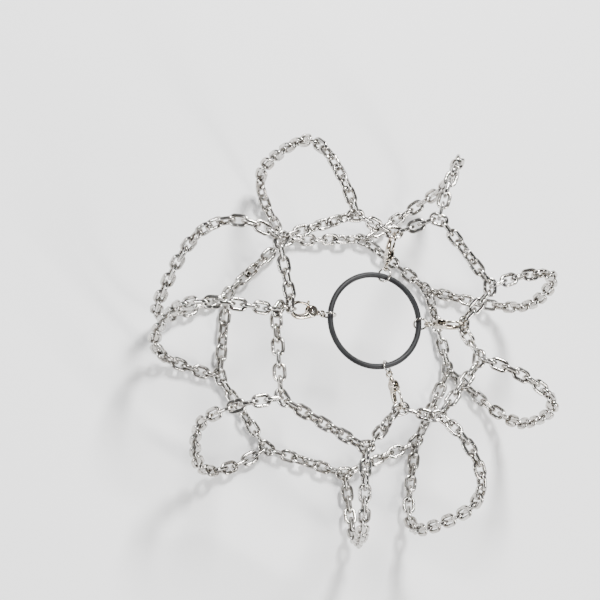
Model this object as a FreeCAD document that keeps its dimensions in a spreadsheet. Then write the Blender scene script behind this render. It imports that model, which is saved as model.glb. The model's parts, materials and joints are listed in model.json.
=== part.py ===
"""Snow chain net for one small off-road wheel, as it sits round the tyre.

Frame: +Z is the wheel axle and points to the outer face, the origin is the centre of the
tyre (on the axle, half way across the tread). Millimetres throughout.

The net is two side chains (outer and inner rings), nine cross chains between them, and
four sprung clasps that pull the outer ring in towards a rubber tensioner ring.
"""
import FreeCAD, Part
import math
import os

from FreeCAD import Matrix, Placement, Rotation, Vector

doc = FreeCAD.newDocument("TireSnowChains")
sheet = doc.addObject("Spreadsheet::Sheet", "Sizes")

SIZES = [
    ("wire_diameter", 1.35, "chain wire"),
    ("link_opening_length", 4.4, "inside length of a link"),
    ("link_opening_width", 2.1, "inside width of a link"),
    ("target_pitch", 4.2, "link to link distance that the counts aim at"),
    ("contact_gap", 0.05, "clearance left where two pieces bear on each other"),
    ("end_offset", 0.3, "how far a neighbour's wire sits past the end arc's centre"),
    ("hung_shift", 0.25, "side-hung link, its middle past the side wire it hangs on"),
    ("hung_gap", 0.15, "clearance between a side wire and the link hung on it"),
    ("hung_place", -0.15, "side-hung link, along the link that it hangs on"),
    ("section_radius", 46.0, "axle to the middle of the tyre's section"),
    ("section_reach_out", 24.0, "section middle to the crown, at the chain's centreline"),
    ("section_reach_in", 22.0, "section middle to the bead, at the chain's centreline"),
    ("section_half_width", 28.4, "section middle to the sidewall, at the centreline"),
    ("inner_ring_radius", 43.6, "axle to the inner side chain's junction links"),
    ("tensioner_radius", 15.8, "tensioner ring, centre to middle of its cord"),
    ("tensioner_cord", 2.0, "tensioner cord diameter"),
    ("tensioner_height", 20.5, "tensioner ring above the tyre's middle plane"),
    ("tensioner_shift_across", -2.2, "tensioner centre off the axle, along X"),
    ("tensioner_shift_along", -0.52, "tensioner centre off the axle, along Y"),
    ("jump_ring_radius", 2.3, "jump ring, centre to middle of its wire"),
    ("jump_ring_wire", 0.75, "jump ring wire diameter"),
    ("cord_gap", 0.3, "clearance between a jump ring and the tensioner's cord"),
    ("jump_ring_turn", 354.0, "degrees of wire in a jump ring, the rest is its slit"),
    ("eye_radius", 0.95, "swivel eye, centre to middle of its wire"),
    ("eye_wire", 0.72, "swivel eye wire diameter"),
    ("eye_place", 13.0, "clasp's hook end to the middle of its eye"),
    ("stem_radius", 0.36, "swivel eye's stem"),
    ("stem_head_radius", 0.6, "head that keeps the stem in the clasp"),
    ("stem_head_length", 0.5, "length of that head"),
    ("swivel_gap", 0.1, "clearance round the stem and its head"),
    ("hook_bar", 1.3, "thickness of the hook where the chain bears on it"),
    ("boss_radius", 2.05, "clasp's pivot boss"),
    ("boss_height", 2.5, "clasp's thickness at the boss"),
    ("slot_width", 1.3, "slot that the lever turns in"),
    ("slot_radius", 1.5, "rounded floor of that slot, about the rivet"),
    ("rivet_place", 8.6, "clasp's hook end to the rivet"),
    ("rivet_offset", 0.2, "rivet off the clasp's middle line"),
    ("rivet_radius", 0.38, "rivet shank"),
    ("rivet_head_radius", 0.62, "rivet heads"),
    ("rivet_head_height", 0.18, "rivet heads"),
    ("lever_hub_radius", 1.0, "lever's hub"),
    ("lever_thickness", 1.1, "lever's hub thickness"),
    ("lever_bore_gap", 0.1, "clearance of the lever's bore on the rivet"),
    ("spring_radius", 1.16, "inside of the leaf spring, about the rivet"),
    ("spring_thickness", 0.16, "leaf spring"),
    ("spring_width", 1.0, "leaf spring"),
    ("spring_angle", 130.0, "degrees of the leaf spring's arc"),
    ("thumb_radius", 0.42, "lever's thumb knob"),
]
for row, (alias, value, note) in enumerate(SIZES, start=1):
    sheet.set(f"A{row}", alias)
    sheet.set(f"B{row}", str(value))
    sheet.set(f"C{row}", note)
    sheet.setAlias(f"B{row}", alias)
doc.recompute()


def size(alias):
    return float(sheet.get(alias))


WIRE = size("wire_diameter")
OPENING = size("link_opening_length")
WIDTH = size("link_opening_width")
PITCH = size("target_pitch")
GAP = size("contact_gap")
END_OFFSET = size("end_offset")
HUNG_SHIFT = size("hung_shift")
HUNG_PLACE = size("hung_place")
HUNG_GAP = size("hung_gap")
SECTION_RADIUS = size("section_radius")
REACH_OUT = size("section_reach_out")
REACH_IN = size("section_reach_in")
HALF_WIDTH = size("section_half_width")
ARC_PLACE = (OPENING - WIDTH) / 2
SIDE_WIRE = (WIDTH + WIRE) / 2

# Powers of the tyre section's superellipse, outside and inside its middle radius.
SQUARENESS = 3.4
ROUNDNESS = 2.0

# Junctions of the outer side chain with the nine cross chains. Each row is: name, the
# junction's bearing and radius, the cross chain's bearing at the shoulder and at the
# crown, and the bearing where it joins the inner side chain.
CROSSES = [
    ("1", 164.9, 37.5, 169.5, 173.0, 174.0),
    ("2", 121.3, 41.3, 123.0, 119.0, 134.0),
    ("3", 79.9, 40.3, 77.5, 74.0, 94.0),
    ("4", 42.3, 35.6, 39.0, 37.0, 54.0),
    ("5", 0.5, 35.8, 1.5, -6.0, 14.0),
    ("6", -41.2, 43.4, -36.0, -31.0, -26.0),
    ("7", -83.5, 46.0, -91.0, -87.0, -66.0),
    ("8", -123.0, 37.5, -123.7, -122.5, -106.0),
    ("9", -155.1, 44.8, -146.0, -134.0, -146.0),
]
# Where along a cross chain its shoulder and crown bearings hold, as shares of its length.
SHOULDER_SHARE = 0.29
CROWN_SHARE = 0.5
PROFILE_STEPS = 600

# Clasps: name, bearing from the tensioner's centre, how far its line rises towards the
# side chain, the clasp's turn about its own line from standing on edge, the jump ring's turn from
# square to the tensioner's cord, and the hooked link's turn about its own length, all in
# degrees. Last is whether the hooked link is held by its end instead of by its side.
CLASPS = [
    ("top", 136.7, 5.5, 4.0, 42.0, 0.0, False),
    ("left", -123.8, 13.2, 76.0, 8.0, 0.0, True),
    ("right", 58.3, 15.0, -10.0, -38.0, 35.0, False),
    ("bottom", -16.1, 10.3, -8.0, 40.0, 15.0, False),
]

# The outer side chain in order of bearing, with the number of plain links from each
# junction or clasp to the next one.
OUTER_ORDER = [
    ("5", 5), ("4", 2), ("right", 3), ("3", 6), ("2", 3), ("top", 3), ("1", 6),
    ("9", 5), ("left", 0), ("8", 6), ("7", 7), ("6", 4), ("bottom", 2),
]
INNER_LINKS = 6


def unit(vector):
    return Vector(vector) / vector.Length


def polar(radius, bearing, height=0.0):
    angle = math.radians(bearing)
    return Vector(radius * math.cos(angle), radius * math.sin(angle), height)


def square_to(vector, direction):
    """The part of vector that is square to the unit vector direction, as a unit vector."""
    return unit(vector - direction * vector.dot(direction))


def placement_of(origin, x_axis, y_axis):
    z_axis = x_axis.cross(y_axis)
    return Placement(Matrix(
        x_axis.x, y_axis.x, z_axis.x, origin.x,
        x_axis.y, y_axis.y, z_axis.y, origin.y,
        x_axis.z, y_axis.z, z_axis.z, origin.z,
        0, 0, 0, 1,
    ))


# ---- the surface that the chain's centreline lies on, a rounded tyre section ----

def section_power(out):
    return SQUARENESS if out > 0 else ROUNDNESS


def section_reach(out):
    return REACH_OUT if out > 0 else REACH_IN


def side_height(radius):
    """Height of the outer sidewall's chain line at a radius from the axle."""
    out = radius - SECTION_RADIUS
    power = section_power(out)
    share = 1 - abs(out / section_reach(out)) ** power
    return HALF_WIDTH * share ** (1 / power)


def section_turn(radius, side):
    """Angle round the section of the sidewall point at a radius; side is 1 or -1."""
    out = radius - SECTION_RADIUS
    return side * math.atan2(side_height(radius) / HALF_WIDTH, out / section_reach(out))


def section_point(turn):
    """Radius and height of the section at an angle from its crown."""
    power = section_power(math.cos(turn))
    scale = (abs(math.cos(turn)) ** power + abs(math.sin(turn)) ** power) ** (-1 / power)
    reach = section_reach(math.cos(turn))
    return SECTION_RADIUS + reach * scale * math.cos(turn), HALF_WIDTH * scale * math.sin(turn)


def surface_normal(point):
    """Direction straight out of the tyre near a point of the chain line."""
    radius = math.hypot(point.x, point.y)
    out = radius - SECTION_RADIUS
    power = section_power(out)
    reach = section_reach(out)
    along = abs(out / reach) ** (power - 1) / reach * (1 if out > 0 else -1)
    height = point.z / HALF_WIDTH
    up = abs(height) ** (power - 1) / HALF_WIDTH * (1 if height > 0 else -1)
    return unit(Vector(along * point.x / radius, along * point.y / radius, up))


def through(points, at):
    """Value at `at` of the smooth curve through a few (place, value) points."""
    total = 0.0
    for place, value in points:
        weight = 1.0
        for other, _ in points:
            if other != place:
                weight *= (at - other) / (place - other)
        total += weight * value
    return total


def cross_path(bearing, radius, shoulder, crown, rear):
    """Points of a cross chain's line, from the outer junction to the inner one."""
    first = section_turn(radius, 1)
    last = section_turn(size("inner_ring_radius"), -1)
    turns = [first + (last - first) * i / PROFILE_STEPS for i in range(PROFILE_STEPS + 1)]
    profile = [section_point(turn) for turn in turns]
    run = [0.0]
    for (r0, z0), (r1, z1) in zip(profile, profile[1:]):
        run.append(run[-1] + math.hypot(r1 - r0, z1 - z0))
    bearings = [(0.0, bearing), (SHOULDER_SHARE, shoulder), (CROWN_SHARE, crown), (1.0, rear)]
    return [
        polar(r, through(bearings, s / run[-1]), z)
        for (r, z), s in zip(profile, run)
    ]


# ---- chains as runs of links ----

# Rounds in which the ends of a span, and a link put through another one, settle.
SPAN_ROUNDS = 4
LINKED_ROUNDS = 6
# How much more a run that ends round a side wire leans to the wire than to its own start.
KNEE_LEAN = 2


class Line:
    """A polyline that can be walked by length."""

    def __init__(self, points):
        self.points = points
        self.run = [0.0]
        for a, b in zip(points, points[1:]):
            self.run.append(self.run[-1] + (b - a).Length)

    def at(self, length):
        for i in range(1, len(self.run) - 1):
            if self.run[i] >= length:
                break
        else:
            i = len(self.run) - 1
        a, b = self.points[i - 1], self.points[i]
        share = (length - self.run[i - 1]) / (self.run[i] - self.run[i - 1])
        return a + (b - a) * share


class Link:
    """A link's place: its centre, its long axis, and the axis across its opening."""

    def __init__(self, centre, along, across):
        self.centre = centre
        self.along = unit(along)
        self.across = square_to(across, self.along)
        self.normal = self.along.cross(self.across)

    def arc(self, end):
        """Centre of the end arc, end is 1 or -1."""
        return self.centre + self.along * (ARC_PLACE * end)

    def placement(self):
        return placement_of(self.centre, self.along, self.across)


def signed_turn(start, end, axis):
    return math.degrees(math.atan2(axis.dot(start.cross(end)), start.dot(end)))


def run_of_links(points, start_across, end_across, count):
    """Links from the first point to the last one. Each end point is the middle of the end
    link's outer wire, and start_across and end_across say how the end links are turned.
    Neighbours stand square to each other, and what is left over is shared as twist."""
    line = Line(points)
    end_reach = (OPENING + WIRE) / 2
    pitch = (line.run[-1] - 2 * end_reach) / max(count - 1, 1)
    stations = [end_reach + pitch / 2 + pitch * i for i in range(count - 1)]
    corners = [points[0]] + [line.at(s) for s in stations] + [points[-1]]
    spots = []
    for i, (a, b) in enumerate(zip(corners, corners[1:])):
        along = unit(b - a)
        centre = (a + b) / 2
        if i == 0 and count > 1:
            centre = a + along * end_reach
        if i == count - 1 and count > 1:
            centre = b - along * end_reach
        spots.append((centre, along, square_to(surface_normal(centre), along)))
    first_turn = signed_turn(spots[0][2], square_to(start_across, spots[0][1]), spots[0][1])
    last_turn = signed_turn(spots[-1][2], square_to(end_across, spots[-1][1]), spots[-1][1])
    spare = (last_turn - first_turn - 90 * (count - 1) + 90) % 180 - 90
    links = []
    for i, (centre, along, normal) in enumerate(spots):
        turn = first_turn + 90 * i + spare * (i + 1) / (count + 1)
        links.append(Link(centre, along, Rotation(along, turn).multVec(normal)))
    return links


def end_wire(special, end, towards):
    """Middle of a neighbour's outer wire where it goes through a special link's end."""
    in_plane = square_to(towards, special.normal)
    return special.arc(end) + in_plane * SIDE_WIRE - towards * (SIDE_WIRE - END_OFFSET)


def span(start, end, count):
    """Plain links between two special links of a side chain."""
    first, last = start.arc(1), end.arc(-1)
    for _ in range(SPAN_ROUNDS):
        direction = unit(last - first)
        first = end_wire(start, 1, direction)
        last = end_wire(end, -1, direction * -1)
    return run_of_links([first, last], start.normal, end.normal, count)


def hung_span(start, end, count):
    """Plain links whose last one goes round the end link's upper side wire, square to it."""
    wire = end.centre + end.across * (SIDE_WIRE + HUNG_SHIFT) + end.along * HUNG_PLACE
    square = end.normal * math.copysign(1, end.normal.dot(wire - start.centre))
    last = wire + square * (WIRE + GAP)
    lean = unit(square * KNEE_LEAN + unit(last - start.arc(1)))
    knee = last - lean * ((OPENING + WIRE + PITCH) / 2)
    first = end_wire(start, 1, unit(knee - start.arc(1)))
    return run_of_links([first, knee, last], start.normal, end.across, count)


def fitting_count(points):
    length = Line(points).run[-1]
    return round((length - OPENING - WIRE) / PITCH) + 1


# ---- where everything is ----

TENSIONER_CENTRE = Vector(
    size("tensioner_shift_across"), size("tensioner_shift_along"), size("tensioner_height"))
JUMP_WIRE_PLACE = (
    size("eye_place") + size("eye_radius") - size("eye_wire") / 2
    - size("jump_ring_wire") / 2 - GAP)
JUMP_PLACE = JUMP_WIRE_PLACE + size("jump_ring_radius")
CORD_PLACE = (
    JUMP_PLACE + size("jump_ring_radius") - size("jump_ring_wire") / 2
    - size("tensioner_cord") / 2 - size("cord_gap"))
HOOKED_WIRE_PLACE = size("hook_bar") + WIRE / 2 + GAP
HELD_LINK_PLACE = HOOKED_WIRE_PLACE - (OPENING + WIRE) / 2
HALF_TURN = 180
# How far a hooked link slides along itself to stay clear of a hook that comes in aslant.
SLIDE_SHARE = 0.7


class Clasp:
    """A clasp's own frame: origin at its hook end, X towards the tensioner."""

    def __init__(self, bearing, rise, turn, jump_turn, link_turn, by_end):
        out = polar(math.cos(math.radians(rise)), bearing, math.sin(math.radians(rise)))
        cord = TENSIONER_CENTRE + polar(size("tensioner_radius"), bearing)
        self.along = out * -1
        self.origin = cord + out * CORD_PLACE
        self.across = Rotation(out, turn).multVec(square_to(Vector(0, 0, 1), out))
        self.jump_across = Rotation(out, jump_turn).multVec(polar(1.0, bearing + 90))
        self.side_wire = self.origin + self.along * HOOKED_WIRE_PLACE
        self.link_turn = link_turn
        self.by_end = by_end

    def anchor(self):
        """About where the middle of the hooked link is."""
        if self.by_end:
            return self.origin + self.along * HELD_LINK_PLACE
        return self.side_wire - self.along * SIDE_WIRE

    def hooked_link(self, along):
        """The link of the outer side chain that the hook holds."""
        if self.by_end:
            upward = self.along.cross(self.across)
            return Link(self.anchor(), self.along * -1, upward * math.copysign(1, upward.z))
        across = Rotation(along, self.link_turn).multVec(square_to(self.along, along))
        reach = HOOKED_WIRE_PLACE - size("hook_bar") / 2
        slide = SLIDE_SHARE * reach * self.along.dot(along)
        return Link(self.side_wire - across * SIDE_WIRE - along * slide, along, across)

    def placement(self):
        return placement_of(self.origin, self.along, self.across)

    def jump_placement(self):
        """X points along the clasp's line, Z square to the ring."""
        return placement_of(
            self.origin + self.along * JUMP_PLACE, self.along,
            self.jump_across.cross(self.along))

    def eye_placement(self):
        """The eye stands square to the jump ring's wire."""
        return placement_of(self.origin, self.along, self.jump_across)


clasps = {name: Clasp(*rest) for name, *rest in CLASPS}
paths = {name: cross_path(*rest) for name, *rest in CROSSES}

anchors = {name: path[0] for name, path in paths.items()}
anchors.update({name: clasp.anchor() for name, clasp in clasps.items()})


def linked_to(held, centre, along, pull):
    """A special link that goes straight through the end of the link before it."""
    for _ in range(LINKED_ROUNDS):
        towards = square_to(centre - along * ARC_PLACE - held.arc(1), held.normal)
        normal = towards.cross(held.normal)
        along = square_to(along, normal)
        centre = held.arc(1) + towards * (SIDE_WIRE + END_OFFSET) + along * ARC_PLACE
    across = normal.cross(along)
    across = across * math.copysign(1, across.dot(pull))
    return Link(centre, along, across + square_to(pull, along))


specials = []
for i, (name, _) in enumerate(OUTER_ORDER):
    centre = anchors[name]
    before = anchors[OUTER_ORDER[i - 1][0]]
    after = anchors[OUTER_ORDER[(i + 1) % len(OUTER_ORDER)][0]]
    along = unit(unit(centre - before) + unit(after - centre))
    if name in clasps:
        specials.append(clasps[name].hooked_link(along))
        continue
    pull = paths[name][1] - paths[name][0]
    if OUTER_ORDER[i - 1][1]:
        specials.append(Link(centre, along, pull))
    else:
        specials.append(linked_to(specials[-1], centre, along, pull))

outer_nodes = []
for i, (name, count) in enumerate(OUTER_ORDER):
    following = (i + 1) % len(OUTER_ORDER)
    end_name = OUTER_ORDER[following][0]
    plain = []
    if end_name in clasps and clasps[end_name].by_end:
        plain = hung_span(specials[i], specials[following], count)
    elif count:
        plain = span(specials[i], specials[following], count)
    outer_nodes.append([specials[i]] + plain)

inner_specials = []
for i in range(len(CROSSES)):
    path = paths[CROSSES[i][0]]
    pull = unit(path[-2] - path[-1])
    inner_specials.append(Link(path[-1], Vector(-path[-1].y, path[-1].x, 0), pull))
inner_nodes = []
for i, start in enumerate(inner_specials):
    inner_nodes.append([start] + span(start, inner_specials[i - 1], INNER_LINKS))


def hung_wire(special, point):
    """Middle of the outer wire of a link that goes round a special link's side wire and
    leads to a point."""
    wire = special.centre + special.across * SIDE_WIRE
    return wire - square_to(point - wire, special.along) * (WIRE + HUNG_GAP)


cross_nodes = {}
for (name, *_), inner in zip(CROSSES, inner_specials):
    outer = specials[[entry[0] for entry in OUTER_ORDER].index(name)]
    path = paths[name]
    line = Line(path)
    length = line.run[-1]
    inside = [p for p, run in zip(path, line.run) if WIRE < run < length - WIRE]
    first = hung_wire(outer, line.at(OPENING + WIRE))
    last = hung_wire(inner, line.at(length - OPENING - WIRE))
    points = [first] + inside + [last]
    cross_nodes[name] = run_of_links(
        points, outer.normal, inner.normal, fitting_count(points))


# ---- shapes ----

def bind(thing, **cells):
    """Ties properties of a document object to expressions of the sheet's cells."""
    for prop, expression in cells.items():
        thing.setExpression(prop, expression)
    return thing


def primitive(kind, name, origin=Vector(), axis=Vector(0, 0, 1), **cells):
    thing = doc.addObject("Part::" + kind, name)
    thing.Placement = Placement(origin, Rotation(Vector(0, 0, 1), axis))
    return bind(thing, **cells)


def fuse(name, things):
    whole = doc.addObject("Part::MultiFuse", name)
    whole.Shapes = things
    return whole


def cut(name, base, tool):
    whole = doc.addObject("Part::Cut", name)
    whole.Base = base
    whole.Tool = tool
    return whole


nodes = {}


def keep(thing, label, placement=None):
    thing.Label = label
    if placement is not None:
        thing.Placement = placement
    nodes[label] = thing


def make_master_link():
    """One oval link of round wire, lying in XY with its length along X."""
    pieces = []
    for end in (1, -1):
        arc = primitive(
            "Torus", f"LinkEnd{len(pieces)}",
            Radius1="(Sizes.link_opening_width + Sizes.wire_diameter) / 2",
            Radius2="Sizes.wire_diameter / 2")
        arc.Angle3 = HALF_TURN
        arc.Placement = Placement(
            Vector(ARC_PLACE * end, 0, 0), Rotation(Vector(0, 0, 1), -90 * end))
        pieces.append(arc)
    for side in (1, -1):
        pieces.append(primitive(
            "Cylinder", f"LinkSide{len(pieces)}",
            Vector(-ARC_PLACE, SIDE_WIRE * side, 0), Vector(1, 0, 0),
            Radius="Sizes.wire_diameter / 2",
            Height="Sizes.link_opening_length - Sizes.link_opening_width"))
    return fuse("MasterLink", pieces)


def keep_chain(label, links):
    """A chain node: copies of the master link, each a separate solid."""
    copies = []
    for link in links:
        copy = master_link.Shape.copy()
        copy.Placement = link.placement()
        copies.append(copy)
    chain = doc.addObject("Part::Feature", label)
    chain.Shape = Part.makeCompound(copies)
    keep(chain, label)


# Sections of the clasp's claw from its neck round to its tip, in the clasp's own plane:
# place along and across, heading in degrees, half width in the plane, half thickness.
CLAW_SECTIONS = [
    (11.5, 0.0, 180, 0.78, 0.74),
    (10.6, 0.0, 182, 1.06, 1.02),
    (9.2, -0.45, 198, 1.38, 1.1),
    (7.4, -1.35, 205, 1.18, 1.05),
    (5.4, -2.1, 194, 1.0, 0.95),
    (3.4, -2.35, 172, 0.9, 0.8),
    (1.7, -1.6, 132, 0.8, 0.6),
    (0.65, 0.0, 90, 0.65, 0.55),
    (1.35, 1.5, 52, 0.66, 0.52),
    (2.75, 2.35, 16, 0.54, 0.48),
    (3.9, 2.5, 0, 0.4, 0.38),
]
LEVER_SECTIONS = [
    (8.0, 0.9, 125, 0.6, 0.52),
    (7.0, 1.9, 150, 0.52, 0.5),
    (5.7, 2.4, 168, 0.48, 0.46),
    (4.15, 2.5, 180, 0.38, 0.36),
]
THUMB_FOOT = Vector(7.1, 1.9, 0)
THUMB_TIP = Vector(6.9, 3.15, 0)
SPRING_START = -155
RIVET = Vector(size("rivet_place"), size("rivet_offset"), 0)
SLOT_REACH = 3.2
SLOT_BACK = 1.0
STEM_START = 11.0
NECK_END = 11.5
BOSS_ROUNDING = 0.5
BORE_PLAY = 0.02
KNOB_SHARE = 1.15


def loft(name, sections):
    rings = []
    for i, (x, y, heading, half_width, half_thickness) in enumerate(sections):
        ring = doc.addObject("Part::Ellipse", f"{name}Section{i}")
        ring.MajorRadius = half_width
        ring.MinorRadius = half_thickness
        forward = polar(1.0, heading)
        sideways = polar(1.0, heading + 90)
        ring.Placement = Placement(
            Vector(x, y, 0), Rotation(sideways, Vector(0, 0, 1), forward, "ZXY"))
        rings.append(ring)
    skin = doc.addObject("Part::Loft", name)
    skin.Sections = rings
    skin.Solid = True
    return skin


def pin(name, radius, height, origin=RIVET, axis=Vector(0, 0, 1)):
    """A cylinder whose middle is at origin. Radius and height are sheet expressions."""
    rod = doc.addObject("Part::Cylinder", name)
    bind(rod, Radius=radius, Height=height)
    doc.recompute()
    rod.Placement = Placement(
        origin - axis * (rod.Height.Value / 2), Rotation(Vector(0, 0, 1), axis))
    return rod


def make_clasp_body(name, placement):
    claw = loft(f"Claw{name}", CLAW_SECTIONS)
    boss = pin(f"Boss{name}", "Sizes.boss_radius", "Sizes.boss_height")
    doc.recompute()
    rounded = doc.addObject("Part::Fillet", f"RoundBoss{name}")
    rounded.Base = boss
    rounded.Edges = [(1, BOSS_ROUNDING, BOSS_ROUNDING), (3, BOSS_ROUNDING, BOSS_ROUNDING)]
    solid = fuse(f"ClaspSolid{name}", [claw, rounded])
    slot = pin(f"Slot{name}", "Sizes.slot_radius", "Sizes.slot_width")
    mouth = doc.addObject("Part::Box", f"Mouth{name}")
    bind(mouth, Height="Sizes.slot_width")
    mouth.Length = SLOT_REACH
    mouth.Width = SLOT_REACH
    mouth.Placement = Placement(
        RIVET + Vector(SLOT_BACK - SLOT_REACH, 0, -size("slot_width") / 2), Rotation())
    bore = pin(f"RivetBore{name}", f"Sizes.rivet_radius + {BORE_PLAY}", "Sizes.boss_height * 2")
    socket = primitive(
        "Cylinder", f"StemSocket{name}",
        Vector(STEM_START - size("stem_head_length") - size("swivel_gap"), 0, 0),
        Vector(1, 0, 0), Radius="Sizes.stem_head_radius + Sizes.swivel_gap",
        Height="Sizes.stem_head_length + 2 * Sizes.swivel_gap")
    throat = primitive(
        "Cylinder", f"StemBore{name}", Vector(STEM_START, 0, 0), Vector(1, 0, 0),
        Radius="Sizes.stem_radius + Sizes.swivel_gap")
    throat.Height = 2 * (NECK_END - STEM_START)
    hollow = fuse(f"ClaspHollow{name}", [slot, mouth, bore, socket, throat])
    body = cut(f"ClaspBody{name}", solid, hollow)
    keep(body, f"clasp_body_{name}", placement)


def make_lever(name, placement):
    arm = loft(f"LeverArm{name}", LEVER_SECTIONS)
    hub = pin(f"LeverHub{name}", "Sizes.lever_hub_radius", "Sizes.lever_thickness")
    thumb = primitive(
        "Cylinder", f"Thumb{name}", THUMB_FOOT, unit(THUMB_TIP - THUMB_FOOT),
        Radius="Sizes.thumb_radius")
    thumb.Height = (THUMB_TIP - THUMB_FOOT).Length
    knob = primitive(
        "Sphere", f"Knob{name}", THUMB_TIP, Radius=f"Sizes.thumb_radius * {KNOB_SHARE}")
    solid = fuse(f"LeverSolid{name}", [arm, hub, thumb, knob])
    bore = pin(
        f"LeverBore{name}", "Sizes.rivet_radius + Sizes.lever_bore_gap",
        "Sizes.boss_height * 2")
    keep(cut(f"Lever{name}", solid, bore), f"clasp_lever_{name}", placement)


def make_rivet(name, placement):
    shank = pin(
        f"Shank{name}", "Sizes.rivet_radius",
        "Sizes.boss_height + 2 * Sizes.rivet_head_height")
    pieces = [shank]
    middle = (size("boss_height") + size("rivet_head_height")) / 2
    for side in (1, -1):
        pieces.append(pin(
            f"RivetHead{name}{len(pieces)}", "Sizes.rivet_head_radius",
            "Sizes.rivet_head_height", RIVET + Vector(0, 0, middle * side)))
    keep(fuse(f"Rivet{name}", pieces), f"clasp_rivet_{name}", placement)


def make_spring(name, placement):
    outside = pin(
        f"SpringOutside{name}", "Sizes.spring_radius + Sizes.spring_thickness",
        "Sizes.spring_width")
    bind(outside, Angle="Sizes.spring_angle")
    outside.Placement = outside.Placement.multiply(
        Placement(Vector(), Rotation(Vector(0, 0, 1), SPRING_START)))
    inside = pin(f"SpringInside{name}", "Sizes.spring_radius", "Sizes.spring_width * 2")
    keep(cut(f"Spring{name}", outside, inside), f"clasp_spring_{name}", placement)


def make_eye(name, placement):
    eye = primitive(
        "Torus", f"EyeRing{name}", Vector(size("eye_place"), 0, 0),
        Radius1="Sizes.eye_radius", Radius2="Sizes.eye_wire / 2")
    stem = primitive(
        "Cylinder", f"EyeStem{name}", Vector(STEM_START - size("stem_head_length") / 2, 0, 0),
        Vector(1, 0, 0), Radius="Sizes.stem_radius")
    stem.Height = size("eye_place") - size("eye_radius") - stem.Placement.Base.x
    head = primitive(
        "Cylinder", f"EyeHead{name}", Vector(STEM_START - size("stem_head_length"), 0, 0),
        Vector(1, 0, 0), Radius="Sizes.stem_head_radius", Height="Sizes.stem_head_length")
    keep(fuse(f"Eye{name}", [eye, stem, head]), f"swivel_eye_{name}", placement)


def make_jump_ring(name, placement):
    """A round of wire whose slit faces sideways, clear of both pieces it joins."""
    ring = primitive(
        "Torus", f"JumpRing{name}", Radius1="Sizes.jump_ring_radius",
        Radius2="Sizes.jump_ring_wire / 2", Angle3="Sizes.jump_ring_turn")
    slit_sideways = Placement(Vector(), Rotation(Vector(0, 0, 1), 90))
    keep(ring, f"jump_ring_{name}", placement.multiply(slit_sideways))


master_link = make_master_link()
doc.recompute()

for i, links in enumerate(outer_nodes, start=1):
    keep_chain(f"outer_side_chain_{i}", links)
for i, links in enumerate(inner_nodes, start=1):
    keep_chain(f"inner_side_chain_{i}", links)
for name, links in cross_nodes.items():
    keep_chain(f"cross_chain_{name}", links)

for name, clasp in clasps.items():
    place = clasp.placement()
    make_clasp_body(name, place)
    make_lever(name, place)
    make_rivet(name, place)
    make_spring(name, place)
    make_eye(name, clasp.eye_placement())
    make_jump_ring(name, clasp.jump_placement())

tensioner = primitive(
    "Torus", "Tensioner", TENSIONER_CENTRE,
    Radius1="Sizes.tensioner_radius", Radius2="Sizes.tensioner_cord / 2")
keep(tensioner, "tensioner_ring")

doc.recompute()

for thing in doc.Objects:
    if "Invalid" in thing.State or "Error" in thing.State:
        raise RuntimeError(f"{thing.Label} failed: {thing.State}")
for label, thing in nodes.items():
    if thing.Shape.isNull() or not thing.Shape.isValid():
        raise RuntimeError(f"{label} has no valid shape")

os.makedirs("parts", exist_ok=True)
for label, thing in nodes.items():
    thing.Shape.exportStep(f"parts/{label}.step")
print(len(nodes), "nodes,", sum(len(thing.Shape.Solids) for thing in nodes.values()), "solids")
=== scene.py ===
"""Snow chain net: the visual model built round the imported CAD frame.

Sizes are millimetres in each piece's own frame. They become metres when a piece is placed.
"""
import bmesh
import bpy
import json
import math
import random
import numpy as np
from mathutils import Matrix, Vector

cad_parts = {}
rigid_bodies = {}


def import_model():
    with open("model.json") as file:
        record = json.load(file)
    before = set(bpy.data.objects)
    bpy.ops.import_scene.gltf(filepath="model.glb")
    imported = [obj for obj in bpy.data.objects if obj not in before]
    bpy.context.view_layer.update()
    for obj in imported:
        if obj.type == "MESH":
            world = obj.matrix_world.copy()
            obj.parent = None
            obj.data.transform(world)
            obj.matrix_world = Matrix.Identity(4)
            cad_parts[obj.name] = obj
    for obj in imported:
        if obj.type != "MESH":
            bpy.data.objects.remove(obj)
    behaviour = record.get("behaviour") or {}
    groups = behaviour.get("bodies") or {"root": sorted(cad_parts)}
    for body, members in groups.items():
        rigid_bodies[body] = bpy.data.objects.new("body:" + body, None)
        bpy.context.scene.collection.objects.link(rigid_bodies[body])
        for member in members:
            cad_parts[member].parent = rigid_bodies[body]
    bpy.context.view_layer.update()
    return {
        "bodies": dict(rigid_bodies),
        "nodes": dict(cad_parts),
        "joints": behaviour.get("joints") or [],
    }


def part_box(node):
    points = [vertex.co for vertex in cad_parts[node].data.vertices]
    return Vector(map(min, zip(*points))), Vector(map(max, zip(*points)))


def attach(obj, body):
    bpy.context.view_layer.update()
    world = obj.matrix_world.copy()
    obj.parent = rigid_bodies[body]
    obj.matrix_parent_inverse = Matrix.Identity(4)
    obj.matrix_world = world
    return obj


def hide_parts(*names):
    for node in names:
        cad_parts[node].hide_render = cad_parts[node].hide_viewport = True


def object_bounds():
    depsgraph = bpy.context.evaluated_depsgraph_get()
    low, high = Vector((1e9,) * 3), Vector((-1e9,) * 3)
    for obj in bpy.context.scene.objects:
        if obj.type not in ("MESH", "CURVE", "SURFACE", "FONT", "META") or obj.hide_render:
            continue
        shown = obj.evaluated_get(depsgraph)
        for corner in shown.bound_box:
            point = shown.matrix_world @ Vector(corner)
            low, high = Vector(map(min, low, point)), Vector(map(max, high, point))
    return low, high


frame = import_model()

MM = 0.001
PLACES = ("top", "left", "right", "bottom")
CREASE_ANGLE = math.radians(40)
UP = Vector((0, 0, 1))
ALONG = Vector((1, 0, 0))
WHITE = (1.0, 1.0, 1.0)
EVEN = (1.0, 1.0, 1.0)
WELD = 0.002
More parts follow.
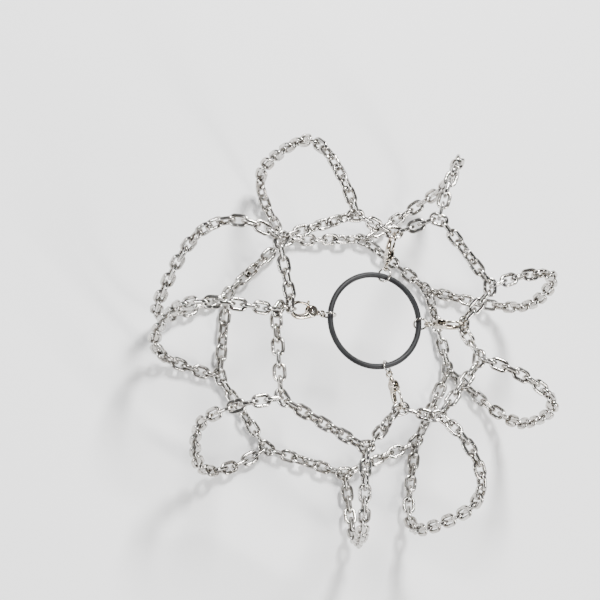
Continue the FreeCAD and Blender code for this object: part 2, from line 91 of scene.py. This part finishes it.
CAST_SMOOTHING = {"factor": 0.5, "iterations": 5}
CAST_THINNING = {"ratio": 0.45}
rng = random.Random(7)

# Driving dimensions, the same as the CAD model's.
WIRE = 1.35
OPENING_LENGTH = 4.4
OPENING_WIDTH = 2.1
RIVET = Vector((8.6, 0.2, 0))
RIVET_RADIUS = 0.38
RIVET_HEAD_RADIUS = 0.62
BOSS_RADIUS = 2.05
BOSS_HEIGHT = 2.5
BOSS_ROUNDING = 0.55
SLOT_WIDTH = 1.3
SLOT_RADIUS = 1.5
MOUTH_LOW = Vector((-2.2, 0, 0))
MOUTH_HIGH = Vector((1.0, 3.2, 0))
STEM_START = 11.0
STEM_RADIUS = 0.36
STEM_HEAD_RADIUS = 0.6
SWIVEL_GAP = 0.1
SOCKET_START = 10.4
THROAT_END = 12.2
BORE_PLAY = 0.02
LEVER_BORE_GAP = 0.1
THROUGH_ALL = 2.5
EYE_PLACE = 13.0
EYE_RADIUS = 0.95
EYE_WIRE = 0.72
JUMP_RING_RADIUS = 2.3
JUMP_RING_WIRE = 0.75
JUMP_RING_SLIT = 5.0
JUMP_SLIT_TURN = 90.0
CORD = 2.0


# ---- placing pieces ----

def body_of(node):
    parent = frame["nodes"][node].parent
    return next(name for name, empty in frame["bodies"].items() if empty == parent)


def joint(name):
    return next(entry for entry in frame["joints"] if entry["name"] == name)


def frame_matrix(origin, x_axis, y_axis):
    """From a piece's own millimetres to the row frame's metres."""
    x_axis = Vector(x_axis).normalized()
    y_axis = Vector(y_axis) - x_axis * x_axis.dot(Vector(y_axis))
    y_axis.normalize()
    z_axis = x_axis.cross(y_axis)
    turned = Matrix((x_axis, y_axis, z_axis)).transposed().to_4x4()
    return Matrix.Translation(origin) @ turned @ Matrix.Scale(MM, 4)


def smooth(mesh):
    """Smooth shading, with creases where machined faces meet."""
    mesh.polygons.foreach_set("use_smooth", [True] * len(mesh.polygons))
    mesh.set_sharp_from_angle(angle=CREASE_ANGLE)


def place(name, mesh, matrix, material, slot, *nodes):
    """A finished piece that stands for some CAD nodes and rides on their body."""
    data = mesh.copy()
    data.name = name
    data.transform(matrix)
    data.materials.clear()
    data.materials.append(material)
    smooth(data)
    piece = bpy.data.objects.new(name, data)
    bpy.context.scene.collection.objects.link(piece)
    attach(piece, body_of(nodes[0]))
    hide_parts(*nodes)
    return piece


# ---- what the CAD meshes say about places ----

def solids(node):
    """Each separate solid of a CAD node: its centroid and its principal axes, longest first."""
    mesh = frame["nodes"][node].data
    mesh.calc_loop_triangles()
    points = np.empty(len(mesh.vertices) * 3)
    mesh.vertices.foreach_get("co", points)
    points = points.reshape(-1, 3)
    triangles = np.empty(len(mesh.loop_triangles) * 3, int)
    mesh.loop_triangles.foreach_get("vertices", triangles)
    grid = np.round(points / (WELD * MM)).astype(np.int64)
    _, welded = np.unique(grid, axis=0, return_inverse=True)
    triangles = triangles.reshape(-1, 3)
    corners = welded.reshape(-1)[triangles]
    labels = np.arange(corners.max() + 1)
    while True:
        before = labels.copy()
        lowest = labels[corners].min(axis=1)
        for column in range(3):
            np.minimum.at(labels, corners[:, column], lowest)
        labels = labels[labels]
        if (labels == before).all():
            break
    group = labels[corners[:, 0]]
    found = []
    for label in np.unique(group):
        a, b, c = (points[triangles[group == label][:, k]] for k in range(3))
        area = np.linalg.norm(np.cross(b - a, c - a), axis=1)
        middle = (a + b + c) / 3
        centre = (middle * area[:, None]).sum(axis=0) / area.sum()
        spread = ((middle - centre) * area[:, None]).T @ (middle - centre)
        _, axes = np.linalg.eigh(spread)
        found.append((Vector(centre), Vector(axes[:, 2]), Vector(axes[:, 1]), Vector(axes[:, 0])))
    return found


# ---- mesh helpers ----

def mesh_from(name, points, faces):
    mesh = bpy.data.meshes.new(name)
    mesh.from_pydata([tuple(p) for p in points], [], faces)
    mesh.validate()
    mesh.update()
    return mesh


def outward(mesh):
    """The same mesh with every face's normal pointing out of it."""
    work = bmesh.new()
    work.from_mesh(mesh)
    bmesh.ops.recalc_face_normals(work, faces=work.faces)
    work.to_mesh(mesh)
    work.free()
    return mesh


def bridge(first, second, count):
    """Faces between two rings of the same count, given where each ring starts."""
    return [
        (first + i, first + (i + 1) % count, second + (i + 1) % count, second + i)
        for i in range(count)
    ]


def tube(name, rings, closed=False):
    """A skin over rings of equal count, capped with flat fans unless it is closed."""
    count = len(rings[0])
    points = [p for ring in rings for p in ring]
    faces = []
    for i in range(len(rings) - 1):
        faces += bridge(i * count, (i + 1) * count, count)
    if closed:
        faces += bridge((len(rings) - 1) * count, 0, count)
    else:
        faces.append(tuple(range(count - 1, -1, -1)))
        faces.append(tuple(range((len(rings) - 1) * count, len(rings) * count)))
    return outward(mesh_from(name, points, faces))


def ellipse_ring(centre, side, up, half_side, half_up, count, squareness=2.0):
    ring = []
    for i in range(count):
        angle = 2 * math.pi * i / count
        across = math.copysign(abs(math.cos(angle)) ** (2 / squareness), math.cos(angle))
        rise = math.copysign(abs(math.sin(angle)) ** (2 / squareness), math.sin(angle))
        ring.append(centre + side * (half_side * across) + up * (half_up * rise))
    return ring


def lathe(name, profile, axis=UP, origin=Vector(), count=48):
    """A round piece from (radius, place along the axis) points."""
    axis = axis.normalized()
    side = axis.orthogonal().normalized()
    up = axis.cross(side)
    rings = [
        ellipse_ring(origin + axis * along, side, up, radius, radius, count)
        for radius, along in profile
    ]
    return tube(name, rings)


def rounded_profile(radius, height, rounding, steps=6):
    """Outline of a disc with rounded rims, from its lower face to its upper one."""
    lower = []
    for i in range(steps + 1):
        angle = math.pi / 2 * i / steps
        lower.append((
            radius - rounding + rounding * math.sin(angle),
            -height / 2 + rounding - rounding * math.cos(angle)))
    return lower + [(r, -z) for r, z in reversed(lower)]


def straight(radius, start, end):
    """Outline of a plain cylinder."""
    return [(radius, start), (radius, end)]


def through(values, share):
    """Smooth value at a share, 0 to 1, of a list of values."""
    place_at = share * (len(values) - 1)
    i = min(int(place_at), len(values) - 2)
    t = place_at - i
    before, start = values[max(i - 1, 0)], values[i]
    end, after = values[i + 1], values[min(i + 2, len(values) - 1)]
    return 0.5 * (
        2 * start + (end - before) * t
        + (2 * before - 5 * start + 4 * end - after) * t * t
        + (3 * start - before - 3 * end + after) * t * t * t)


def modified(name, mesh, *modifiers):
    """The mesh after a list of (type, settings) modifiers."""
    thing = bpy.data.objects.new(name, mesh)
    bpy.context.scene.collection.objects.link(thing)
    for kind, settings in modifiers:
        modifier = thing.modifiers.new(kind, kind)
        for key, value in settings.items():
            setattr(modifier, key, value)
    graph = bpy.context.evaluated_depsgraph_get()
    result = bpy.data.meshes.new_from_object(thing.evaluated_get(graph))
    bpy.data.objects.remove(thing)
    return result


def joined(name, meshes):
    points = []
    faces = []
    for mesh in meshes:
        start = len(points)
        points += [v.co.copy() for v in mesh.vertices]
        faces += [tuple(i + start for i in p.vertices) for p in mesh.polygons]
    return mesh_from(name, points, faces)


def cast(name, parts, voxel, cutters):
    """Parts melted into one smooth casting, then cut by some solids."""
    whole = modified(
        name, joined(name, parts),
        ("REMESH", {"mode": "VOXEL", "voxel_size": voxel}),
        ("SMOOTH", CAST_SMOOTHING),
        ("DECIMATE", CAST_THINNING))
    for cutter in cutters:
        tool = bpy.data.objects.new("Cutter", cutter)
        bpy.context.scene.collection.objects.link(tool)
        whole = modified(name, whole, ("BOOLEAN", {
            "operation": "DIFFERENCE", "solver": "EXACT", "object": tool}))
        bpy.data.objects.remove(tool)
    return whole


# ---- materials ----

def new_material(name):
    material = bpy.data.materials.new(name)
    material.use_nodes = True
    nodes = material.node_tree.nodes
    return material, nodes, material.node_tree.links, nodes["Principled BSDF"]


def noise(nodes, links, place_from, scale, detail=4.0, roughness=0.55):
    node = nodes.new("ShaderNodeTexNoise")
    node.inputs["Scale"].default_value = scale
    node.inputs["Detail"].default_value = detail
    node.inputs["Roughness"].default_value = roughness
    links.new(place_from, node.inputs["Vector"])
    return node.outputs["Fac"]


def ramp(nodes, links, value, stops):
    node = nodes.new("ShaderNodeValToRGB")
    elements = node.color_ramp.elements
    while len(elements) < len(stops):
        elements.new(0.5)
    for element, (at, colour) in zip(elements, stops):
        element.position = at
        element.color = (*colour, 1.0)
    links.new(value, node.inputs["Fac"])
    return node.outputs["Color"]


def spread(nodes, links, value, low, high):
    node = nodes.new("ShaderNodeMapRange")
    node.inputs["To Min"].default_value = low
    node.inputs["To Max"].default_value = high
    links.new(value, node.inputs["Value"])
    return node.outputs["Result"]


def stretched(nodes, links, scale, turn=(0.0, 0.0, 0.0)):
    place_from = nodes.new("ShaderNodeTexCoord").outputs["Object"]
    node = nodes.new("ShaderNodeMapping")
    node.inputs["Scale"].default_value = scale
    node.inputs["Rotation"].default_value = turn
    links.new(place_from, node.inputs["Vector"])
    return node.outputs["Vector"]


def multiply(nodes, links, first, second, factor=1.0):
    node = nodes.new("ShaderNodeMix")
    node.data_type = "RGBA"
    node.blend_type = "MULTIPLY"
    node.inputs["Factor"].default_value = factor
    links.new(first, node.inputs["A"])
    links.new(second, node.inputs["B"])
    return node.outputs["Result"]


def bump(nodes, links, shader, layers):
    """Bumps from (height, strength, depth in millimetres) layers."""
    normal = None
    for height, strength, depth in layers:
        node = nodes.new("ShaderNodeBump")
        node.inputs["Strength"].default_value = strength
        node.inputs["Distance"].default_value = depth * MM
        links.new(height, node.inputs["Height"])
        if normal is not None:
            links.new(normal, node.inputs["Normal"])
        normal = node.outputs["Normal"]
    links.new(normal, shader.inputs["Normal"])


def plated_metal(name, bright, worn, dull, roughness, wear):
    """Nickel plate: cloudy tone, painted shade in its recesses, hairline scratches and dents."""
    material, nodes, links, shader = new_material(name)
    shader.inputs["Metallic"].default_value = 1.0
    plain = stretched(nodes, links, EVEN)
    cloud = noise(nodes, links, plain, 260.0)
    speck = noise(nodes, links, plain, 2600.0, 3.0)
    hair = noise(nodes, links, stretched(nodes, links, (9.0, 0.7, 0.7), (0.3, 0.5, 0.9)), 1900.0)
    cross_hair = noise(
        nodes, links, stretched(nodes, links, (0.6, 8.0, 0.8), (0.8, 0.2, 0.4)), 1700.0)
    tone = ramp(nodes, links, cloud, [(0.3, worn), (0.52, bright), (0.8, bright)])
    stain = ramp(nodes, links, speck, [(0.28, dull), (0.42, WHITE), (1.0, WHITE)])
    colour = multiply(nodes, links, tone, stain, wear)
    # The tone attribute: each link's random tone times painted shade in its opening.
    tint = nodes.new("ShaderNodeAttribute")
    tint.attribute_name = "tone"
    colour = multiply(nodes, links, colour, tint.outputs["Color"])
    links.new(colour, shader.inputs["Base Color"])
    links.new(
        spread(nodes, links, cloud, roughness - 0.06, roughness + 0.12),
        shader.inputs["Roughness"])
    bump(nodes, links, shader, [
        (hair, 0.35, 0.018), (cross_hair, 0.3, 0.015), (cloud, 0.4, 0.06)])
    return material


def rubber(name):
    """Matte black rubber cord with faint moulding grain, scuffs and dust."""
    material, nodes, links, shader = new_material(name)
    plain = stretched(nodes, links, EVEN)
    grain = noise(nodes, links, plain, 3200.0, 5.0, 0.7)
    patch = noise(nodes, links, plain, 160.0)
    scuff = noise(nodes, links, stretched(nodes, links, (1.0, 6.0, 2.0), (0.2, 0.9, 0.4)), 520.0)
    colour = ramp(nodes, links, patch, [
        (0.35, (0.006, 0.006, 0.007)), (0.6, (0.010, 0.010, 0.011)), (0.75, (0.02, 0.02, 0.019))])
    dust = ramp(nodes, links, scuff, [
        (0.5, WHITE), (0.68, (1.5, 1.48, 1.44)), (1.0, (2.2, 2.15, 2.1))])
    links.new(multiply(nodes, links, colour, dust), shader.inputs["Base Color"])
    links.new(spread(nodes, links, patch, 0.38, 0.62), shader.inputs["Roughness"])
    shader.inputs["Specular IOR Level"].default_value = 0.3
    bump(nodes, links, shader, [(grain, 0.4, 0.02), (patch, 0.35, 0.1)])
    return material


CHAIN_METAL = plated_metal(
    "ChainNickel", (0.61, 0.595, 0.57), (0.40, 0.38, 0.35), (0.33, 0.29, 0.25), 0.18, 0.75)
CLASP_METAL = plated_metal(
    "ClaspNickel", (0.52, 0.475, 0.41), (0.34, 0.28, 0.22), (0.3, 0.24, 0.18), 0.13, 0.65)
RING_METAL = plated_metal(
    "RingNickel", (0.57, 0.545, 0.5), (0.40, 0.37, 0.33), (0.33, 0.28, 0.23), 0.15, 0.65)
SPRING_METAL = plated_metal(
    "SpringSteel", (0.45, 0.45, 0.46), (0.34, 0.34, 0.35), (0.3, 0.28, 0.26), 0.34, 0.6)
RUBBER = rubber("TensionerRubber")


def set_tone(mesh, tones):
    """A colour for each vertex that the metals multiply by; on the links it holds their random tone
    and painted shade.
    """
    attribute = mesh.color_attributes.new("tone", "FLOAT_COLOR", "POINT")
    colours = np.ones((len(tones), 4), np.float32)
    colours[:, :3] = tones
    attribute.data.foreach_set("color", colours.reshape(-1))


# ---- chain links ----

LINK_STEPS = 52
LINK_SIDES = 16
RIM_STEPS = 3
SEAM_HALF_GAP = 0.018
SEAM_ROUNDING = 0.1
END_FLATTENING = 0.035
TONE_SPREAD = 0.18
WARMTH_SPREAD = 0.05
# Painted shade in each link's opening: its strength, and its share along the straight sides.
RECESS_SHADE_STRENGTH = 0.5
RECESS_SHADE_MIDDLE_SHARE = 0.35


def link_line(length):
    """Point, outward direction and bend share at a length along the oval, from the middle
    of its lower side."""
    reach = (OPENING_LENGTH - OPENING_WIDTH) / 2
    radius = (OPENING_WIDTH + WIRE) / 2
    arc = math.pi * radius
    total = 4 * reach + 2 * arc
    length = length % total
    if length < reach:
        return Vector((length, -radius, 0)), Vector((0, -1, 0)), 0.0
    if length < reach + arc:
        angle = (length - reach) / radius - math.pi / 2
        out = Vector((math.cos(angle), math.sin(angle), 0))
        return Vector((reach, 0, 0)) + out * radius, out, math.sin((length - reach) / radius)
    if length < 3 * reach + arc:
        return Vector((2 * reach + arc - length, radius, 0)), Vector((0, 1, 0)), 0.0
    if length < 3 * reach + 2 * arc:
        angle = (length - 3 * reach - arc) / radius + math.pi / 2
        out = Vector((math.cos(angle), math.sin(angle), 0))
        bend = math.sin((length - 3 * reach - arc) / radius)
        return Vector((-reach, 0, 0)) + out * radius, out, bend
    return Vector((length - total, -radius, 0)), Vector((0, -1, 0)), 0.0


def link_total():
    return 2 * (OPENING_LENGTH - OPENING_WIDTH) + math.pi * (OPENING_WIDTH + WIRE)


def link_mesh():
    """An oval link bent from round wire. Its ends butt in the middle of one side, each with
    a rounded rim, and the wire is a little flattened where it is bent."""
    total = link_total()
    rims = []
    for i in range(RIM_STEPS):
        angle = math.pi / 2 * i / RIM_STEPS
        rims.append((
            SEAM_HALF_GAP + SEAM_ROUNDING * (1 - math.cos(angle)),
            1 - SEAM_ROUNDING * (1 - math.sin(angle)) / (WIRE / 2)))
    start = SEAM_HALF_GAP + SEAM_ROUNDING
    full = [
        (start + (total - 2 * start) * i / LINK_STEPS, 1.0) for i in range(LINK_STEPS + 1)]
    far_rims = [(total - length, share) for length, share in reversed(rims)]
    rings = []
    for length, share in rims + full + far_rims:
        point, out, bend = link_line(length)
        half_out = WIRE / 2 * share * (1 - END_FLATTENING * bend)
        rings.append(ellipse_ring(point, out, UP, half_out, WIRE / 2 * share, LINK_SIDES))
    return tube("LinkMaster", rings)


def mesh_arrays(mesh):
    points = np.array([v.co[:] for v in mesh.vertices])
    return points, [tuple(p.vertices) for p in mesh.polygons]


LINK_POINTS, LINK_FACES = mesh_arrays(link_mesh())


def link_tone_and_shade(points):
    """Darker inside the opening as painted shade, most towards its ends, with a tone of its own
    for each link."""
    own = 1 - TONE_SPREAD * rng.random()
    warm = WARMTH_SPREAD * rng.random()
    past_arc = np.maximum(np.abs(points[:, 0]) - (OPENING_LENGTH - OPENING_WIDTH) / 2, 0)
    inside = np.hypot(past_arc, points[:, 1])
    depth = np.clip(((OPENING_WIDTH + WIRE) / 2 - inside) / (WIRE / 2), 0, 1)
    end = np.clip(np.abs(points[:, 0]) / (OPENING_LENGTH / 2), 0, 1)
    # Painted shade in the opening, times the link's own random tone.
    shade = own * (1 - RECESS_SHADE_STRENGTH * depth * (RECESS_SHADE_MIDDLE_SHARE + (1 - RECESS_SHADE_MIDDLE_SHARE) * end))
    return np.stack([shade, shade * (1 - warm * 0.5), shade * (1 - warm)], axis=1)


def chain(node):
    points = []
    faces = []
    tones = []
    for i, (centre, along, across, _) in enumerate(solids(node)):
        if rng.random() < 0.5:
            along = along * -1
        if rng.random() < 0.5:
            across = across * -1
        matrix = np.array(frame_matrix(centre, along, across))
        start = i * len(LINK_POINTS)
        points.append(LINK_POINTS @ matrix[:3, :3].T + matrix[:3, 3])
        faces += [tuple(k + start for k in face) for face in LINK_FACES]
        tones.append(link_tone_and_shade(LINK_POINTS))
    mesh = mesh_from(node, np.concatenate(points), faces)
    set_tone(mesh, np.concatenate(tones))
    place(f"{node}.links", mesh, Matrix.Identity(4), CHAIN_METAL, "chain_steel", node)


for node in sorted(frame["nodes"]):
    if node.startswith(("outer_side_chain", "inner_side_chain", "cross_chain")):
        chain(node)


# ---- clasps ----

# Sections from the neck round to the hook's tip: place along and across, heading in
# degrees, half width in the clasp's plane, half thickness.
CLAW_SECTIONS = [
    (11.5, 0.0, 180, 0.78, 0.74), (10.6, 0.0, 182, 1.06, 1.02), (9.2, -0.45, 198, 1.38, 1.1),
    (7.4, -1.35, 205, 1.18, 1.05), (5.4, -2.1, 194, 1.0, 0.95), (3.4, -2.35, 172, 0.9, 0.8),
    (1.7, -1.6, 132, 0.8, 0.6), (0.65, 0.0, 90, 0.65, 0.55), (1.35, 1.5, 52, 0.66, 0.52),
    (2.75, 2.35, 16, 0.54, 0.48), (3.9, 2.5, 0, 0.4, 0.38),
]
LEVER_SECTIONS = [
    (8.0, 0.9, 125, 0.6, 0.52), (7.0, 1.9, 150, 0.52, 0.5), (5.7, 2.4, 168, 0.48, 0.46),
    (4.15, 2.5, 180, 0.38, 0.36),
]
SLIT_RIM_SHARE = 0.88
BODY_VOXEL = 0.075
LEVER_VOXEL = 0.05
EYE_VOXEL = 0.045
THUMB_FOOT = Vector((7.1, 1.9, 0))
THUMB_TIP = Vector((6.9, 3.15, 0))
THUMB_RADIUS = 0.42
LEVER_HUB_RADIUS = 1.0
LEVER_THICKNESS = 1.1
HUB_ROUNDING = 0.1
BEAD_RADIUS = 0.98
BEAD_LENGTH = 0.6
BEAD_ROUNDING = 0.28
BEAD_PLACE = Vector((11.15, 0, 0))


def swept(name, sections, steps, count=28, squareness=2.25):
    rings = []
    columns = list(zip(*sections))
    for i in range(steps + 1):
        x, y, heading, half_width, half_thickness = (
            through(column, i / steps) for column in columns)
        side = Vector((-math.sin(math.radians(heading)), math.cos(math.radians(heading)), 0))
        rings.append(ellipse_ring(
            Vector((x, y, 0)), side, UP, half_width, half_thickness, count, squareness))
    return tube(name, rings)


def block(name, low, high):
    corners = [Vector((x, y, z)) for x in (low.x, high.x) for y in (low.y, high.y)
               for z in (low.z, high.z)]
    faces = [(0, 1, 3, 2), (4, 6, 7, 5), (0, 4, 5, 1), (2, 3, 7, 6), (0, 2, 6, 4), (1, 5, 7, 3)]
    return outward(mesh_from(name, corners, faces))


def body_mesh():
    claw = swept("Claw", CLAW_SECTIONS, 90)
    boss = lathe("Boss", rounded_profile(BOSS_RADIUS, BOSS_HEIGHT, BOSS_ROUNDING), UP, RIVET)
    bead = lathe(
        "Bead", rounded_profile(BEAD_RADIUS, BEAD_LENGTH, BEAD_ROUNDING), ALONG, BEAD_PLACE)
    slot = lathe("Slot", straight(SLOT_RADIUS, -SLOT_WIDTH / 2, SLOT_WIDTH / 2), UP, RIVET, 40)
    half = Vector((0, 0, SLOT_WIDTH / 2))
    mouth = block("Mouth", RIVET + MOUTH_LOW - half, RIVET + MOUTH_HIGH + half)
    bore = lathe("Bore", straight(RIVET_RADIUS + BORE_PLAY, -THROUGH_ALL, THROUGH_ALL),
                 UP, RIVET, 32)
    socket = lathe(
        "Socket", straight(STEM_HEAD_RADIUS + SWIVEL_GAP, SOCKET_START, STEM_START + SWIVEL_GAP),
        ALONG, Vector(), 32)
    throat = lathe(
        "Throat", straight(STEM_RADIUS + SWIVEL_GAP, STEM_START, THROAT_END), ALONG, Vector(), 32)
    return cast("ClaspBodyMaster", [claw, boss, bead], BODY_VOXEL, [slot, mouth, bore, socket, throat])


def lever_mesh():
    arm = swept("Arm", LEVER_SECTIONS, 36, 24)
    hub = lathe(
        "Hub", rounded_profile(LEVER_HUB_RADIUS, LEVER_THICKNESS, HUB_ROUNDING), UP, RIVET)
    way = THUMB_TIP - THUMB_FOOT
    thumb = lathe("Thumb", [
        (THUMB_RADIUS, 0), (THUMB_RADIUS * 0.92, way.length * 0.5),
        (THUMB_RADIUS * 1.1, way.length * 0.85), (THUMB_RADIUS * 1.15, way.length),
        (THUMB_RADIUS * 0.9, way.length + 0.3), (THUMB_RADIUS * 0.45, way.length + 0.44),
    ], way, THUMB_FOOT, 32)
    bore = lathe("LeverBore", straight(RIVET_RADIUS + LEVER_BORE_GAP, -2, 2), UP, RIVET, 32)
    return cast("ClaspLeverMaster", [arm, hub, thumb], LEVER_VOXEL, [bore])


def rivet_mesh():
    """A pin with a low domed head at each end."""
    top = BOSS_HEIGHT / 2
    head = [
        (RIVET_HEAD_RADIUS, top), (RIVET_HEAD_RADIUS, top + 0.06), (0.54, top + 0.13),
        (0.36, top + 0.18), (0.12, top + 0.2)]
    lower = [(radius, -height) for radius, height in reversed(head)]
    shank = straight(RIVET_RADIUS, -top + 0.01, top - 0.01)
    return lathe("RivetMaster", lower + shank + head, UP, RIVET, 40)


def ring_mesh(name, radius, wire, slit=0.0, start=0.0, steps=84, sides=20):
    """A ring of round wire in XY; slit is the gap's angle in degrees, centred on start."""
    rings = []
    first = math.radians(start + slit / 2)
    sweep = math.radians(360 - slit)
    total = steps + 1 if slit else steps
    for i in range(total):
        angle = first + sweep * i / steps
        out = Vector((math.cos(angle), math.sin(angle), 0))
        at_slit = slit and i in (0, total - 1)
        half = wire / 2 * (SLIT_RIM_SHARE if at_slit else 1.0)
        rings.append(ellipse_ring(out * radius, out, UP, half, half, sides))
    return tube(name, rings, closed=not slit)


def eye_mesh():
    """The swivel's eye, a shoulder under it, and the stem with its head."""
    eye = ring_mesh("EyeRing", EYE_RADIUS, EYE_WIRE, steps=56)
    eye.transform(Matrix.Translation((EYE_PLACE, 0, 0)))
    foot = EYE_PLACE - EYE_RADIUS
    stem = lathe("Stem", [
        (0.3, 10.48), (0.58, 10.52), (STEM_HEAD_RADIUS, 10.6), (STEM_HEAD_RADIUS, 10.9),
        (0.56, STEM_START), (STEM_RADIUS, STEM_START + 0.02), (STEM_RADIUS, 11.72),
        (0.42, 11.86), (0.4, foot)], ALONG, Vector(), 32)
    return cast("EyeMaster", [eye, stem], EYE_VOXEL, [])


def full_tone(mesh):
    set_tone(mesh, np.ones((len(mesh.vertices), 3)))
    return mesh


BODY_MESH = full_tone(body_mesh())
LEVER_MESH = full_tone(lever_mesh())
RIVET_MESH = full_tone(rivet_mesh())
EYE_MESH = full_tone(eye_mesh())


def clasp(where):
    turning = joint(f"clasp_{where}_swivel")
    opening = joint(f"lever_{where}_open")
    along = Vector(turning["axis"])
    matrix = frame_matrix(
        Vector(turning["pos_m"]), along, Vector(opening["axis"]).cross(along))
    place(f"clasp_body_{where}.casting", BODY_MESH, matrix, CLASP_METAL, "clasp_metal",
          f"clasp_body_{where}")
    place(f"clasp_lever_{where}.casting", LEVER_MESH, matrix, CLASP_METAL, "clasp_metal",
          f"clasp_lever_{where}")
    place(f"clasp_rivet_{where}.pin", RIVET_MESH, matrix, RING_METAL, "clasp_metal",
          f"clasp_rivet_{where}")
    jump = f"jump_ring_{where}"
    centre, _, _, normal = solids(jump)[0]
    eye_frame = frame_matrix(Vector(turning["pos_m"]), along, normal)
    place(f"swivel_eye_{where}.casting", EYE_MESH, eye_frame, CLASP_METAL, "clasp_metal",
          f"swivel_eye_{where}")
    ring = full_tone(ring_mesh(
        "JumpRing", JUMP_RING_RADIUS, JUMP_RING_WIRE, JUMP_RING_SLIT, JUMP_SLIT_TURN))
    ring_frame = frame_matrix(centre, along, normal.cross(along))
    place(f"{jump}.wire", ring, ring_frame, RING_METAL, "ring_wire", jump)
    spring = frame["nodes"][f"clasp_spring_{where}"]
    spring.data.materials.clear()
    spring.data.materials.append(SPRING_METAL)


for where in PLACES:
    clasp(where)


# ---- tensioner ring ----

CORD_STEPS = 200
CORD_SIDES = 40
CORD_THINNING = 0.028
CORD_UNEVENNESS = 0.006
FLASH_HEIGHT = 0.02
FLASH_START = 0.975


def tensioner():
    """Moulded rubber ring with a faint flash line round its widest and narrowest places."""
    centre, *_ = solids("tensioner_ring")[0]
    low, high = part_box("tensioner_ring")
    radius = (high.x - low.x) / 2 / MM - CORD / 2
    rings = []
    for i in range(CORD_STEPS):
        angle = 2 * math.pi * i / CORD_STEPS
        out = Vector((math.cos(angle), math.sin(angle), 0))
        ripple = CORD_UNEVENNESS * math.sin(5 * angle) * math.sin(3 * angle + 1)
        thick = CORD / 2 * (1 - CORD_THINNING + ripple)
        ring = []
        for k in range(CORD_SIDES):
            turn = 2 * math.pi * k / CORD_SIDES
            edge = max(0.0, abs(math.cos(turn)) - FLASH_START) / (1 - FLASH_START)
            reach = thick + FLASH_HEIGHT * edge
            ring.append(out * (radius + reach * math.cos(turn)) + UP * (reach * math.sin(turn)))
        rings.append(ring)
    mesh = tube("TensionerMesh", rings, closed=True)
    matrix = Matrix.Translation(centre) @ Matrix.Scale(MM, 4)
    place("tensioner_ring.cord", mesh, matrix, RUBBER, "tensioner_rubber", "tensioner_ring")


tensioner()


# ---- floor, light and camera ----

FLOOR_GLOW = 0.16
FLOOR_REACH = 6.0
FLOOR_GAP = 0.0001
SENSOR = 36.0
LENS = 132.0


def floor():
    low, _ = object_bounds()
    reach = FLOOR_REACH
    height = low.z - FLOOR_GAP
    mesh = mesh_from("FloorMesh", [
        (-reach, -reach, height), (reach, -reach, height), (reach, reach, height),
        (-reach, reach, height)], [(0, 1, 2, 3)])
    material, nodes, links, shader = new_material("FloorPaper")
    plain = stretched(nodes, links, EVEN)
    cloud = noise(nodes, links, plain, 3.0)
    links.new(
        ramp(nodes, links, cloud, [(0.3, (0.80, 0.80, 0.80)), (0.7, (0.84, 0.84, 0.84))]),
        shader.inputs["Base Color"])
    shader.inputs["Roughness"].default_value = 0.85
    shader.inputs["Specular IOR Level"].default_value = 0.1
    shader.inputs["Emission Color"].default_value = (*WHITE, 1.0)
    shader.inputs["Emission Strength"].default_value = FLOOR_GLOW
    mesh.materials.append(material)
    thing = bpy.data.objects.new("Floor", mesh)
    bpy.context.scene.collection.objects.link(thing)


def area_light(name, place_at, target, width, height, power, colour=WHITE):
    data = bpy.data.lights.new(name, "AREA")
    data.shape = "RECTANGLE"
    data.size = width
    data.size_y = height
    data.energy = power
    data.color = colour
    thing = bpy.data.objects.new(name, data)
    thing.location = place_at
    way = Vector(target) - Vector(place_at)
    thing.rotation_euler = way.to_track_quat("-Z", "Y").to_euler()
    bpy.context.scene.collection.objects.link(thing)


def studio():
    area_light("KeyLight", (-0.4, 0.35, 0.7), (0, 0, 0), 0.16, 0.22, 20.0)
    area_light("FillLight", (0.6, 0.1, 0.5), (0, 0, 0), 0.16, 0.4, 7.0, (1.0, 0.98, 0.95))
    area_light("LowLight", (-0.1, -0.7, 0.3), (0, 0, 0), 0.5, 0.1, 4.5, (0.96, 0.98, 1.0))
    world = bpy.data.worlds.new("Studio")
    bpy.context.scene.world = world
    world.use_nodes = True
    nodes = world.node_tree.nodes
    links = world.node_tree.links
    background = nodes["Background"]
    direction = nodes.new("ShaderNodeTexCoord").outputs["Generated"]
    split = nodes.new("ShaderNodeSeparateXYZ")
    links.new(direction, split.inputs["Vector"])
    colour = ramp(nodes, links, split.outputs["Z"], [
        (0.0, (0.62, 0.62, 0.62)), (0.1, (0.5, 0.5, 0.5)), (0.3, (0.03, 0.028, 0.026)),
        (0.62, (0.05, 0.05, 0.052)),
        (0.82, (0.3, 0.31, 0.33)), (0.9, (0.06, 0.06, 0.065)), (1.0, (0.02, 0.02, 0.022))])
    links.new(colour, background.inputs["Color"])
    background.inputs["Strength"].default_value = 1.0


def camera():
    """At the photograph's angle: high over the outer face, and rolled."""
    place_at = Vector((5.457, -287.63, 705.28)) * MM
    target = Vector((-21.14, -12.47, 0.0)) * MM
    roll = math.radians(55.44)
    data = bpy.data.cameras.new("Camera")
    data.sensor_width = SENSOR
    data.lens = LENS
    data.clip_start = 0.01
    thing = bpy.data.objects.new("Camera", data)
    facing = (target - place_at).to_track_quat("-Z", "Y").to_matrix().to_4x4()
    thing.matrix_world = Matrix.Translation(place_at) @ facing @ Matrix.Rotation(roll, 4, "Z")
    bpy.context.scene.collection.objects.link(thing)
    bpy.context.scene.camera = thing


floor()
studio()
camera()
